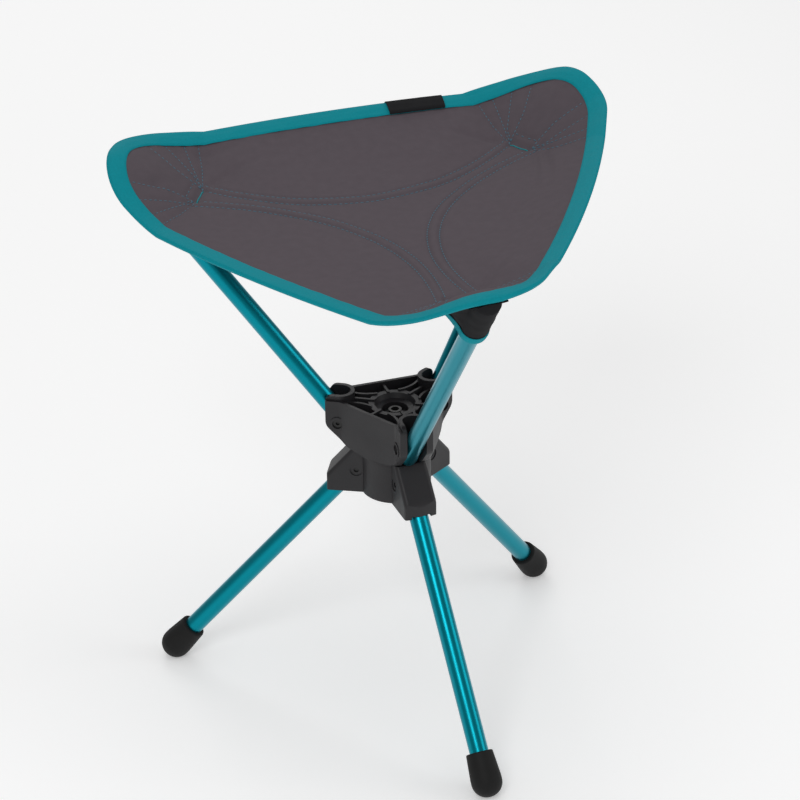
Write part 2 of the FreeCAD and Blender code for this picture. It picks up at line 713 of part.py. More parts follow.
def build():
    """Every piece of the stool by its name."""
    panel = seat_panel()
    room = under_seat()
    ground = below_ground()
    pieces = {
        "lower_hub": lower_hub(),
        "upper_hub": upper_hub(),
        "swivel_bolt": swivel_bolt(),
        "swivel_nut": swivel_nut(),
        "nut_washer": nut_washer(),
        "thrust_washer": thrust_washer(),
        "seat_panel": panel,
        "seat_binding": seat_binding(panel),
        "seat_label": seat_label(),
    }
    for side, azimuth in SIDES.items():
        leg_end = LEG_LENGTH + FOOT_SEAT
        pieces["leg_tube_" + side] = on_leg(tube(-LEG_ROOT, leg_end, LEG_PIN_R), azimuth)
        pieces["leg_plug_" + side] = on_leg(root_plug(-LEG_ROOT, LEG_PLUG_LENGTH, LEG_PIN_R), azimuth)
        pieces["leg_pin_" + side] = turned(leg_pin(), azimuth)
        pieces["foot_cap_" + side] = on_leg(foot_cap(), azimuth).cut(ground)
        pieces["arm_tube_" + side] = on_arm(tube(-ARM_ROOT, ARM_LENGTH, ARM_PIN_R), azimuth)
        pieces["arm_plug_" + side] = on_arm(root_plug(-ARM_ROOT, ARM_PLUG_LENGTH, ARM_PIN_R), azimuth)
        pieces["arm_tip_cap_" + side] = on_arm(tip_cap(), azimuth)
        pieces["arm_pin_" + side] = turned(arm_pin(), azimuth + SWIVEL_REST)
        pieces["seat_pocket_" + side] = seat_pocket(azimuth, room)
        pieces["pocket_binding_" + side] = pocket_binding(azimuth, room)
    return pieces


def main():
    """Write one STEP file for each piece."""
    os.makedirs("parts", exist_ok=True)
    for name, shape in build().items():
        shape.exportStep("parts/" + name + ".step")
        print(name, shape.isValid(), len(shape.Solids), round(shape.Volume, 1))


main()
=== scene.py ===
"""Camp stool: the cloth seat, its stitching, pockets and finishes, laid over the fixed frame."""

import math

import bmesh
import bpy
from bpy.props import FloatProperty, FloatVectorProperty, PointerProperty
from bpy.types import Operator, Panel, PropertyGroup
from mathutils import Matrix, Vector, noise


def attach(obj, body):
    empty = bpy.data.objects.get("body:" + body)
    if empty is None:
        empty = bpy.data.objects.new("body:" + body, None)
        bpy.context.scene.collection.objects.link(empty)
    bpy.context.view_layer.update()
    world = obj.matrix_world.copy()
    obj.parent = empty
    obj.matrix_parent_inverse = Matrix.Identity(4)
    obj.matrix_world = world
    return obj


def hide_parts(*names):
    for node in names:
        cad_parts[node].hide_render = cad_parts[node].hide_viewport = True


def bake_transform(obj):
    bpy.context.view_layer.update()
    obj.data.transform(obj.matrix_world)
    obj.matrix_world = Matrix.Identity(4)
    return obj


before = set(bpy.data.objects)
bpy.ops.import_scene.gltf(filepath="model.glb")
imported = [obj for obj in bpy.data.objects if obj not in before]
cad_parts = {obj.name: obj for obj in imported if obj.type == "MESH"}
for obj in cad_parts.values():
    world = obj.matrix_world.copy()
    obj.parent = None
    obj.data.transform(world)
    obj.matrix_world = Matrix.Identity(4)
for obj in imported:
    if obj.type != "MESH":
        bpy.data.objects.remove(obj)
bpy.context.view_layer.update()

bl_info = {
    "name": "Camp Stool",
    "version": (1, 0, 0),
    "blender": (4, 5, 0),
    "location": "View3D > Sidebar > Camp Stool",
    "description": "Sewn seat, pockets and finishes of a folding three-legged stool",
    "category": "Object",
}

UP = Vector((0, 0, 1))

# The seat is a rounded triangle: three corners, one over each arm, and three edges between them.
CORNERS = {"front": 270.0, "right": 30.0, "left": 150.0}
HALF_SECTOR = math.radians(60)

# Height of the rim at each corner, its slope there, and height of the rim at each edge's middle.
CORNER_RIM = {"front": (0.377, -0.14), "right": (0.3875, 0.36), "left": (0.379, 0.10)}
EDGE_RIM = {330.0: 0.372, 90.0: 0.367, 210.0: 0.3515}
SEAT_LOW = 0.347
FLAT_RIM = 0.3555
RIM_TURN = math.radians(22)

# Each corner lifts off the sling along a line across it, from this far out.
LIFT_START = 0.1265
LIFT_FLARE = 0.226
LIFT_HALF_WIDTH = 0.007
LIFT_SPREAD = 0.045
LIFT_STEEP = 1.3

# Sewn lines that bow in towards the middle from corner to corner.
QUILT_LINES = (0.025, 0.033)
QUILT_BOW = 4.0
QUILT_END = 0.103
QUILT_FADE = 0.012

# Sewn lines at each corner, as (out, across) from the seat's middle, mirrored across the corner.
CORNER_SEAMS = (
    ((0.128, 0.009), (0.146, 0.013), (0.165, 0.022)),
    ((0.1265, 0.008), (0.132, 0.028), (0.140, 0.049)),
    ((0.1265, 0.008), (0.138, 0.026), (0.149, 0.044)),
    ((0.1280, 0.009), (0.134, 0.017), (0.158, 0.033)),
    ((0.1330, 0.0005), (0.133, 0.010)),
)

# Soft creases that run from a corner into the sling, as (out, across) in that corner's frame.
CREASES = {
    "right": (
        ((0.122, -0.018), (0.090, -0.044), (0.052, -0.068)),
        ((0.125, -0.022), (0.100, -0.046), (0.077, -0.067)),
        ((0.122, 0.016), (0.100, 0.050)),
    ),
    "left": (
        ((0.136, -0.040), (0.112, -0.060)),
        ((0.122, -0.016), (0.098, -0.050)),
        ((0.150, 0.012), (0.163, 0.024)),
    ),
    "front": (((0.122, 0.018), (0.092, 0.047)),),
}

# A short solid tack lies across each corner.
TACK_OUT = 0.1265
TACK_HALF = 0.008

# Half widths and depths of what sewing and stretching do to the cloth.
QUILT_GROOVE_WIDTH = 0.0013
QUILT_SWELL_WIDTH = 0.0028
SIDE_SWELL = 0.4
SIDE_SWELL_OFF = 0.006
SIDE_SWELL_WIDTH = 0.004
SEAMS_START = 0.115
SEAM_DEPTH = 0.0006
SEAM_WIDTH = 0.0012
TACK_DEPTH = 0.0012
TACK_WIDTH = 0.003
CREASE_DEPTH = 0.0016
CREASE_WIDTH = 0.0035
CREASE_REACH = 0.015

# Unevenness of the cloth and of its binding: height, and how often it varies.
BROAD_WAVE = (0.0005, 28)
FINE_WAVE = (0.00016, 95)
PUCKER = (0.00045, 150)
PUCKER_INSET = 0.0155
PUCKER_WIDTH = 0.004
TAPE_RIPPLE = (0.00035, 130)
TAPE_RIPPLE_START = 0.004

# Meant as where the cloth bends as an arm folds: nearer the middle than the first it would follow
# the hub, and further out than the second the arm. bend() works these points out but doesn't use
# them.
BEND_START = 0.0636
BEND_END = 0.100

# Centre line of an arm, as (out, up), from its pivot to its tip.
ARM_PIVOT = Vector((0.0365, 0.197475))
ARM_TIP = Vector((0.174652, 0.368688))

# The label's span along the edge, in degrees from the right corner.
LABEL_SPAN = (28.6, 43.8)

# Faces of each sheet, along and across it.
SEAT_GRID = (190, 150)
TAPE_GRID = (260, 44)
LABEL_GRID = (40, 44)
POCKET_GRID = (64, 56)
MOUTH_GRID = (64, 14)
TAPE_SAMPLES = 40

# Stitches: pitch, length and radius.
QUILT_STITCH = (0.0034, 0.0025, 0.00042)
SEAM_STITCH = (0.0032, 0.0024, 0.0004)
TACK_STITCH = (0.0007, 0.0024, 0.0006)
BINDING_STITCH = (0.0030, 0.0022, 0.00032)

# Lamps: name, place, size and power.
LAMPS = (
    ("key", (-1.2, -1.5, 1.9), 1.1, 15.0),
    ("fill", (1.9, -1.0, 1.2), 1.3, 7.0),
    ("back", (0.3, 2.0, 1.6), 1.4, 9.0),
    ("overhead", (0.0, 0.0, 2.4), 1.8, 8.0),
)
LAMP_AIM = Vector((0, 0, 0.2))

# Camera: azimuth, elevation and roll in degrees, then its distance and its lens.
CAMERA_ANGLES = (-21.216, 29.225, -0.759)
CAMERA_AIM = Vector((0, 0, 0.18))
CAMERA_DISTANCE = 2.1798
SENSOR_WIDTH = 36.0
FOCAL_LENGTH = 148.245


def smooth(share):
    """Eased step from 0 to 1."""
    share = min(max(share, 0.0), 1.0)
    return share * share * (3 - 2 * share)


def hump(distance, width):
    """Soft ridge, 1 on its line and fading to each side."""
    return math.exp(-((distance / width) ** 2))


def along(points, share):
    """Point at a share of a broken line's length."""
    points = [Vector(p) for p in points]
    steps = [(b - a).length for a, b in zip(points, points[1:])]
    left = min(max(share, 0.0), 1.0) * sum(steps)
    for start, end, step in zip(points, points[1:], steps):
        if left <= step:
            return start.lerp(end, left / step)
        left -= step
    return points[-1]


def length_of(points):
    """Length of a broken line."""
    points = [Vector(p) for p in points]
    return sum((b - a).length for a, b in zip(points, points[1:]))


class SeatShape:
    """Outline and surface of the seat, in the frame that the three arms turn with."""

    def __init__(self, sizes):
        self.swivel = sizes.swivel
        self.reach = sizes.corner_reach
        self.radius = sizes.corner_radius
        self.tip = self.reach + self.radius
        inset = sizes.edge_reach - self.radius
        self.shift = (self.reach**2 - inset**2) / (2 * (inset - self.reach / 2))
        self.side_radius = sizes.edge_reach + self.shift
        joint = Vector((self.reach / 2 + self.shift, self.reach * math.sqrt(3) / 2))
        joint = joint.normalized() * self.side_radius - Vector((self.shift, 0))
        self.corner_turn = HALF_SECTOR - math.atan2(joint.y, joint.x)
        self.groove = sizes.quilt_depth
        self.puff = sizes.quilt_puff

    def edge(self, turn):
        """Distance from the middle to the outline, at an angle from a corner's line."""
        turn = abs(turn)
        if turn < self.corner_turn:
            across = self.reach * math.sin(turn)
            return self.reach * math.cos(turn) + math.sqrt(self.radius**2 - across**2)
        turn = HALF_SECTOR - turn
        across = self.shift * math.sin(turn)
        return math.sqrt(self.side_radius**2 - across**2) - self.shift * math.cos(turn)

    def outward(self, turn):
        """Point on the outline and the direction straight out from it, in a corner's frame."""
        step = 0.001
        here = self.edge(turn) * Vector((math.cos(turn), math.sin(turn)))
        before = self.edge(turn - step) * Vector((math.cos(turn - step), math.sin(turn - step)))
        after = self.edge(turn + step) * Vector((math.cos(turn + step), math.sin(turn + step)))
        run = (after - before).normalized()
        return here, Vector((run.y, -run.x))

    def sling(self, corner, out, across):
        """Height of the plain cloth at a point of a corner's third."""
        far = math.hypot(out, across)
        turn = math.atan2(across, out)
        rim_at = (CORNERS[corner] + math.copysign(60, turn)) % 360
        rim = FLAT_RIM + (EDGE_RIM[rim_at] - FLAT_RIM) * smooth(abs(turn) / RIM_TURN)
        share = far / self.edge(turn)
        height = SEAT_LOW + (rim - SEAT_LOW) * share**2
        fold = LIFT_START + LIFT_FLARE * max(abs(across) - LIFT_HALF_WIDTH, 0)
        lift = (out - fold) / (self.tip - LIFT_START)
        if lift <= 0:
            return height
        top, slope = CORNER_RIM[corner]
        rise = top - FLAT_RIM
        end = (slope - 2 * (FLAT_RIM - SEAT_LOW) / self.tip) * (self.tip - LIFT_START) / rise
        curve = 3 * lift**2 - 2 * lift**3
        curve += LIFT_STEEP * (lift**3 - 2 * lift**2 + lift) + end * (lift**3 - lift**2)
        return height + rise * curve / (1 + (across / LIFT_SPREAD) ** 2)

    def quilting(self, out, across):
        """How far the sewn lines pull the cloth down, and the strip between them swells."""
        turn = HALF_SECTOR - abs(math.atan2(across, out))
        far = math.hypot(out, across)
        reach = far * math.cos(turn)
        side = far * math.sin(turn)
        fade = smooth((QUILT_END + QUILT_FADE - side) / QUILT_FADE)
        slant = math.hypot(1, 2 * QUILT_BOW * side)
        first, second = ((reach - q - QUILT_BOW * side**2) / slant for q in QUILT_LINES)
        sunk = -self.groove * (
            hump(first, QUILT_GROOVE_WIDTH) + hump(second, QUILT_GROOVE_WIDTH)
        )
        swell = self.puff * hump((first + second) / 2, QUILT_SWELL_WIDTH)
        beside = SIDE_SWELL * self.puff * hump(second + SIDE_SWELL_OFF, SIDE_SWELL_WIDTH)
        return fade * (sunk + swell + beside)

    def corner_work(self, out, across):
        """Pull of the corner's seams and tack."""
        depth = 0.0
        here = Vector((out, abs(across)))
        if out < SEAMS_START:
            return depth
        for seam in CORNER_SEAMS:
            for start, end in zip(seam, seam[1:]):
                gap = gap_to_run(here, Vector(start), Vector(end))
                depth = max(depth, hump(gap, SEAM_WIDTH))
        tack = Vector((TACK_OUT, TACK_HALF))
        near = gap_to_run(here, Vector((TACK_OUT, 0)), tack)
        return -SEAM_DEPTH * depth - TACK_DEPTH * hump(near, TACK_WIDTH)

    def creasing(self, corner, out, across):
        """Depth of the soft creases, widest and deepest near the corner."""
        depth = 0.0
        here = Vector((out, across))
        for crease in CREASES[corner]:
            whole = length_of(crease)
            for start, end in zip(crease, crease[1:]):
                start, end = Vector(start), Vector(end)
                gap = gap_to_run(here, start, end)
                if gap < CREASE_REACH:
                    fade = 1 - smooth((here - Vector(crease[0])).length / whole)
                    depth = max(depth, hump(gap, CREASE_WIDTH) * (0.15 + 0.85 * fade))
        return -CREASE_DEPTH * depth

    def softness(self, corner, out, across):
        """Slight unevenness of stretched cloth, and puckers along its bound edge."""
        turn = math.atan2(across, out)
        place = self.place(corner, out, across, 0.0)
        broad = BROAD_WAVE[0] * noise.noise(place * BROAD_WAVE[1])
        wave = broad + FINE_WAVE[0] * noise.noise(place * FINE_WAVE[1])
        inside = (self.edge(turn) - math.hypot(out, across) - PUCKER_INSET) / PUCKER_WIDTH
        pucker = PUCKER[0] * noise.noise(place * PUCKER[1] + UP)
        return wave + pucker * hump(inside, 1.0)

    def top(self, corner, out, across):
        """Height of the finished cloth's upper face."""
        height = self.sling(corner, out, across)
        height += self.quilting(out, across) + self.corner_work(out, across)
        height += self.creasing(corner, out, across)
        return height + self.softness(corner, out, across)

    def place(self, corner, out, across, height):
        """A point of a corner's frame, turned to where that corner is."""
        turn = math.radians(CORNERS[corner] + self.swivel)
        x = out * math.cos(turn) - across * math.sin(turn)
        y = out * math.sin(turn) + across * math.cos(turn)
        return Vector((x, y, height))

    def on_top(self, corner, out, across, lift=0.0):
        """A point on the cloth's upper face."""
        return self.place(corner, out, across, self.top(corner, out, across) + lift)

    def bend(self, piece, corner):
        """Bakes a piece's placement into its mesh. It works out where the bend near the hub and the
        arm starts and ends, but doesn't use these points, so the piece doesn't bend.
        """
        start = self.place(corner, BEND_START, 0, SEAT_LOW)
        end = self.place(corner, BEND_END, 0, SEAT_LOW)
        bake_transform(piece)


def gap_to_run(point, start, end):
    """Distance from a point to a straight run."""
    run = end - start
    share = min(max((point - start).dot(run) / run.length_squared, 0.0), 1.0)
    return (point - start - run * share).length


class Value:
    """A number that varies over a surface; arithmetic on it adds Math nodes."""

    def __init__(self, finish, socket):
        self.finish = finish
        self.socket = socket

    def maths(self, operation, *values):
        inputs = dict(enumerate(values))
        return self.finish.node("ShaderNodeMath", {"operation": operation}, inputs)

    def __add__(self, other):
        return self.maths("ADD", self, other)

    def __rsub__(self, other):
        return self.maths("SUBTRACT", other, self)

    def __mul__(self, other):
        return self.maths("MULTIPLY", self, other)


SOCKETS = {"Specular": "Specular IOR Level"}


class Finish:
    """One material, built up from its shader."""

    def __init__(self, name, colour, **settings):
        self.material = bpy.data.materials.new(name)
        self.material.use_nodes = True
        self.tree = self.material.node_tree
        self.shader = self.tree.nodes["Principled BSDF"]
        self.colour = (*colour, 1.0)
        self.shader.inputs["Base Color"].default_value = self.colour
        for socket, value in settings.items():
            self.shader.inputs[SOCKETS.get(socket, socket)].default_value = value

    def node(self, kind, settings=None, inputs=None, output=0):
        """Adds a node, sets it, fills its sockets, and gives one output."""
        made = self.tree.nodes.new(kind)
        for key, value in (settings or {}).items():
            setattr(made, key, value)
        for key, value in (inputs or {}).items():
            if isinstance(value, Value):
                self.tree.links.new(value.socket, made.inputs[key])
            else:
                made.inputs[key].default_value = value
        return Value(self, made.outputs[output])

    def link(self, value, socket):
        """Feeds a value to the shader."""
        self.tree.links.new(value.socket, self.shader.inputs[socket])

    def axes(self, output):
        """The three numbers of a coordinate."""
        spot = self.node("ShaderNodeTexCoord", output=output)
        split = self.node("ShaderNodeSeparateXYZ", inputs={0: spot})
        outs = split.socket.node.outputs
        return [Value(self, outs[i]) for i in range(3)]

    def grain(self, scale, detail=2.0, roughness=0.5, output="Object"):
        """Even noise, about 0.5 on average."""
        spot = self.node("ShaderNodeTexCoord", output=output)
        inputs = {"Vector": spot, "Scale": scale, "Detail": detail, "Roughness": roughness}
        return self.node("ShaderNodeTexNoise", inputs=inputs, output="Fac")

    def wave(self, value, pitch):
        """Meant as a sine of a distance, once each pitch. The distance doesn't reach the sine
        node, so this is one value everywhere."""
        return (value * (2 * math.pi / pitch)).maths("SINE") * 0.5 + 0.5

    def bump(self, height, distance, strength=1.0):
        """Raises the surface by a height."""
        inputs = {"Height": height, "Distance": distance, "Strength": strength}
        self.link(self.node("ShaderNodeBump", inputs=inputs, output="Normal"), "Normal")

    def mottle(self, share, light):
        """Mixes the finish's colour towards a lighter or darker one."""
        second = tuple(min(c * light, 1.0) for c in self.colour[:3]) + (1.0,)
        inputs = {0: share, 6: self.colour, 7: second}
        mixed = self.node("ShaderNodeMix", {"data_type": "RGBA"}, inputs, output=2)
        self.link(mixed, "Base Color")


def weave(finish, pitch, depth, contrast):
    """Faint uneven mottling of cloth. Its yarns don't show, because each wave is one value."""
    u, v, _ = finish.axes("UV")
    uneven = finish.grain(160, output="UV")
    warp = finish.wave(u + uneven * (pitch * 0.5), pitch)
    weft = finish.wave(v + uneven * (pitch * 0.5), pitch)
    cloth = warp * weft + (1 - warp) * (1 - weft)
    finish.bump(cloth, depth, 0.6)
    finish.mottle(cloth * 0.5 + uneven * 0.5, contrast)


def ribs(finish, pitch, depth):
    """Uneven surface of a tape. Its cords don't show, because the wave is one value."""
    _, v, _ = finish.axes("UV")
    uneven = finish.grain(700, output="UV")
    cord = finish.wave(v, pitch)
    finish.bump(cord + uneven * 0.5, depth, 0.7)
    finish.mottle(cord * 0.6 + uneven * 0.4, 1.9)


def make_finishes(colours):
    """Every finish of the stool, by the name of its slot."""
    hub = Finish("hub_plastic_grained", colours.hub, Roughness=0.5, Specular=0.4)
    grain = hub.grain(900, 3.0)
    hub.bump(grain, 0.00012, 0.5)
    hub.link(hub.grain(60) * 0.18 + 0.4, "Roughness")

    tube = Finish("anodised_aluminium", colours.tube, Metallic=0.95, Roughness=0.3)
    tube.shader.inputs["Coat Roughness"].default_value = 0.25
    tube.shader.inputs["Coat Weight"].default_value = 0.06
    tube.link(tube.grain(60) * 0.06 + 0.27, "Roughness")
    tube.mottle(tube.grain(12), 1.08)

    rubber = Finish("foot_rubber", colours.rubber, Roughness=0.62, Specular=0.2)
    rubber.bump(rubber.grain(500), 0.0001, 0.4)
    rubber.link(rubber.grain(80) * 0.2 + 0.52, "Roughness")

    seat = Finish("seat_cloth", colours.seat, Roughness=0.86, Specular=0.25)
    weave(seat, 0.0011, 0.00018, 1.45)

    tape = Finish("binding_tape", colours.binding, Roughness=0.72, Specular=0.15)
    ribs(tape, 0.0016, 0.0002)

    black = Finish("black_cloth", colours.black, Roughness=0.85, Specular=0.15)
    weave(black, 0.0012, 0.00015, 1.9)

    steel = Finish("plated_steel", (0.55, 0.55, 0.56), Metallic=1.0, Roughness=0.28)
    steel.link(steel.grain(400) * 0.2 + 0.2, "Roughness")
    dark = Finish("blackened_steel", (0.03, 0.03, 0.03), Metallic=0.6, Roughness=0.4)
    dark.link(dark.grain(400) * 0.2 + 0.3, "Roughness")
    pale = Finish("pale_nylon", (0.75, 0.74, 0.70), Roughness=0.45)
    pale.link(pale.grain(200) * 0.1 + 0.4, "Roughness")

    thread = Finish("quilting_thread", colours.thread, Roughness=0.6)
    thread.mottle(thread.grain(1500), 1.5)
    tack = Finish("binding_thread", colours.tack, Roughness=0.6)
    tack.mottle(tack.grain(1500), 1.5)
    return {
        "hub_plastic": hub,
        "anodised_tube": tube,
        "rubber_foot": rubber,
        "seat_fabric": seat,
        "teal_tape": tape,
        "black_fabric": black,
        "steel": steel,
        "black_steel": dark,
        "pale_plastic": pale,
        "thread": thread,
        "tack_thread": tack,
    }


FINISHES = {}

NODE_SLOTS = {
    "leg_tube": "anodised_tube",
    "arm_tube": "anodised_tube",
    "leg_plug": "hub_plastic",
    "arm_plug": "hub_plastic",
    "arm_tip_cap": "hub_plastic",
    "foot_cap": "rubber_foot",
    "lower_hub": "hub_plastic",
    "upper_hub": "hub_plastic",
    "swivel_bolt": "black_steel",
    "swivel_nut": "steel",
    "nut_washer": "steel",
    "thrust_washer": "pale_plastic",
    "leg_pin": "black_steel",
    "arm_pin": "black_steel",
}


def new_piece(name, bm, finish, smooth_angle=50.0):
    """Makes an object of a finished mesh, with creases kept sharp."""
    mesh = bpy.data.meshes.new(name)
    bm.to_mesh(mesh)
    bm.free()
    mesh.shade_smooth()
    mesh.set_sharp_from_angle(angle=math.radians(smooth_angle))
    mesh.materials.append(FINISHES[finish].material)
    piece = bpy.data.objects.new(name, mesh)
    bpy.context.scene.collection.objects.link(piece)
    return piece


def strip(columns, rows, put, size, thickness):
    """A sheet of cloth: a grid whose points are put in place, given its thickness below.
    put(u, v) takes shares from 0 to 1; size is the sheet's real width and length for its weave."""
    bm = bmesh.new()
    uv = bm.loops.layers.uv.new("cloth")
    bmesh.ops.create_grid(bm, x_segments=columns, y_segments=rows, size=0.5, calc_uvs=True)
    for face in bm.faces:
        for loop in face.loops:
            spot = loop.vert.co
            loop[uv].uv = ((spot.x + 0.5) * size[0], (spot.y + 0.5) * size[1])
    for vert in bm.verts:
        vert.co = put(vert.co.x + 0.5, vert.co.y + 0.5)
    bmesh.ops.remove_doubles(bm, verts=bm.verts[:], dist=1e-6)
    if thickness:
        bmesh.ops.solidify(bm, geom=bm.faces[:], thickness=thickness)
    return bm


class CampStoolSizes(PropertyGroup):
    """Sizes of the sewn seat."""

    swivel: FloatProperty(
        name="Swivel", description="Turn of the seat on its hub, in degrees", default=-3.2
    )
    corner_reach: FloatProperty(
        name="Corner Reach",
        description="Distance from the middle to a corner's centre",
        default=0.130,
        unit="LENGTH",
    )
    corner_radius: FloatProperty(
        name="Corner Radius", description="Radius of a corner", default=0.054, unit="LENGTH"
    )
    edge_reach: FloatProperty(
        name="Edge Reach",
        description="Distance from the middle to the middle of an edge",
        default=0.126,
        unit="LENGTH",
    )
    cloth: FloatProperty(
        name="Cloth",
        description="Thickness of the padded seat cloth",
        default=0.0014, unit="LENGTH",
    )
    tape: FloatProperty(
        name="Tape", description="Thickness of the binding tape", default=0.0006, unit="LENGTH"
    )
    band: FloatProperty(
        name="Band", description="Width of the binding on each face", default=0.0110, unit="LENGTH"
    )
    quilt_depth: FloatProperty(
        name="Quilt Depth", description="Depth of the sewn lines", default=0.0009, unit="LENGTH"
    )
    quilt_puff: FloatProperty(
        name="Quilt Puff", description="Swell between the sewn lines", default=0.0006, unit="LENGTH"
    )


class CampStoolColours(PropertyGroup):
    """Colours of the stool."""

    seat: FloatVectorProperty(
        name="Seat", description="Seat cloth", default=(0.082, 0.067, 0.078), subtype="COLOR"
    )
    binding: FloatVectorProperty(
        name="Binding", description="Binding tape", default=(0.0, 0.17, 0.205), subtype="COLOR"
    )
    tube: FloatVectorProperty(
        name="Tube", description="Anodised tube", default=(0.0, 0.25, 0.32), subtype="COLOR"
    )
    rubber: FloatVectorProperty(
        name="Rubber", description="Foot", default=(0.012, 0.012, 0.012), subtype="COLOR"
    )
    hub: FloatVectorProperty(
        name="Hub", description="Hub plastic", default=(0.017, 0.016, 0.018), subtype="COLOR"
    )
    black: FloatVectorProperty(
        name="Black", description="Pocket cloth", default=(0.010, 0.010, 0.011), subtype="COLOR"
    )
    thread: FloatVectorProperty(
        name="Thread", description="Quilting thread", default=(0.055, 0.12, 0.165), subtype="COLOR"
    )
    tack: FloatVectorProperty(
        name="Tack",
        description="Thread of tacks and bindings",
        default=(0.0, 0.17, 0.2), subtype="COLOR",
    )


class CAMPSTOOL_OT_stage(Operator):
    """Lays a pale floor, soft lights and the camera"""

    bl_idname = "camp_stool.stage"
    bl_label = "Stage"

    def execute(self, context):
        bm = bmesh.new()
        bmesh.ops.create_grid(bm, x_segments=1, y_segments=1, size=6.0)
        mesh = bpy.data.meshes.new("floor")
        bm.to_mesh(mesh)
        bm.free()
        floor = bpy.data.objects.new("floor", mesh)
        pale = Finish("pale_floor", (0.92, 0.92, 0.92), Roughness=0.9)
        pale.shader.inputs["Emission Color"].default_value = (1, 1, 1, 1)
        pale.shader.inputs["Emission Strength"].default_value = 0.28
        mesh.materials.append(pale.material)
        context.scene.collection.objects.link(floor)

        world = bpy.data.worlds.new("studio")
        world.use_nodes = True
        world.node_tree.nodes["Background"].inputs["Color"].default_value = (1, 1, 1, 1)
        world.node_tree.nodes["Background"].inputs["Strength"].default_value = 0.33
        context.scene.world = world
        context.scene.view_settings.view_transform = "Standard"

        for name, spot, size, power in LAMPS:
            lamp = bpy.data.lights.new(name, "AREA")
            lamp.shape = "DISK"
            lamp.size = size
            lamp.energy = power
            holder = bpy.data.objects.new(name, lamp)
            aim = LAMP_AIM - Vector(spot)
            holder.matrix_world = (
                Matrix.Translation(spot) @ aim.to_track_quat("-Z", "Y").to_matrix().to_4x4()
            )
            context.scene.collection.objects.link(holder)

        azimuth, elevation, roll = (math.radians(a) for a in CAMERA_ANGLES)
        flat = math.cos(elevation)
        back = Vector((math.sin(azimuth) * flat, -math.cos(azimuth) * flat, math.sin(elevation)))
        level = Vector((math.cos(azimuth), math.sin(azimuth), 0))
        upright = back.cross(level)
        side = level * math.cos(roll) + upright * math.sin(roll)
        top = upright * math.cos(roll) - level * math.sin(roll)
        spot = back * CAMERA_DISTANCE + side * 0.002946 + top * 0.028951 + CAMERA_AIM
        lens = bpy.data.cameras.new("camera")
        lens.sensor_width = SENSOR_WIDTH
        lens.lens = FOCAL_LENGTH
        camera = bpy.data.objects.new("camera", lens)
        turn = Matrix((side, top, back)).transposed().to_4x4()
        camera.matrix_world = Matrix.Translation(spot) @ turn
        context.scene.collection.objects.link(camera)
        context.scene.camera = camera
        return {"FINISHED"}


class CAMPSTOOL_OT_finishes(Operator):
    """Makes every finish and gives the frame's parts theirs"""

    bl_idname = "camp_stool.finishes"
    bl_label = "Finishes"

    def execute(self, context):
        FINISHES.update(make_finishes(context.scene.camp_stool_colours))
        for name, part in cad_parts.items():
            for start, slot in NODE_SLOTS.items():
                if name.startswith(start):
                    part.material_slots[0].material = FINISHES[slot].material
        return {"FINISHED"}


class CAMPSTOOL_OT_seat(Operator):
    """Makes the three thirds of the quilted seat"""

    bl_idname = "camp_stool.seat"
    bl_label = "Seat Cloth"

    def execute(self, context):
        sizes = context.scene.camp_stool_sizes
        shape = SeatShape(sizes)
        for corner in CORNERS:

            def put(u, v):
                turn = (0.5 - u) * 2 * HALF_SECTOR
                far = (shape.edge(turn) - sizes.tape) * v**0.85
                return shape.on_top(corner, far * math.cos(turn), far * math.sin(turn))

            bm = strip(*SEAT_GRID, put, (1.0, 1.0), 0)
            uv = bm.loops.layers.uv["cloth"]
            for face in bm.faces:
                for loop in face.loops:
                    loop[uv].uv = loop.vert.co.xy
            bmesh.ops.solidify(bm, geom=bm.faces[:], thickness=sizes.cloth)
            piece = new_piece("seat_cloth_" + corner, bm, "seat_fabric")
            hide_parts("seat_panel")
            shape.bend(piece, corner)
        return {"FINISHED"}


def band_section(sizes, wide, lift):
    """Path of a tape folded over the seat's edge, as (in from the edge, above the cloth)."""
    under = -sizes.cloth - sizes.tape - lift
    return (
        (wide, lift * 0.5),
        (wide - 0.0006, sizes.tape + lift),
        (wide * 0.5, sizes.tape * 1.5 + lift),
        (0.0016, sizes.tape + lift),
        (0.0001, sizes.tape * 0.5 + lift * 0.5),
        (-sizes.tape - lift * 0.4, -sizes.cloth * 0.5),
        (0.0001, under + sizes.tape * 0.5),
        (0.0016, under),
        (wide * 0.5, under - sizes.tape * 0.5),
        (wide, under),
    )


def edge_tape(shape, sizes, corner, turns, section, grid):
    """A tape over the seat's edge, between two angles from a corner's line."""

    def put(u, v):
        turn = turns[1] + (turns[0] - turns[1]) * u
        inset, lift = along(section, 1 - v)
        rim, out = shape.outward(turn)
        spot = rim - out * inset
        height = shape.sling(corner, spot.x, spot.y) + lift
        ripple = noise.noise(shape.place(corner, rim.x, rim.y, inset) * TAPE_RIPPLE[1])
        height += TAPE_RIPPLE[0] * ripple * smooth(inset / TAPE_RIPPLE_START)
        return shape.place(corner, spot.x, spot.y, height)

    span = turns[1] - turns[0]
    stops = [turns[0] + span * i / TAPE_SAMPLES for i in range(TAPE_SAMPLES + 1)]
    length = length_of([shape.outward(stop)[0] for stop in stops])
    width = length_of(section)
    bm = strip(grid[0], grid[1], put, (length, width), sizes.tape)
    return bm, length, width


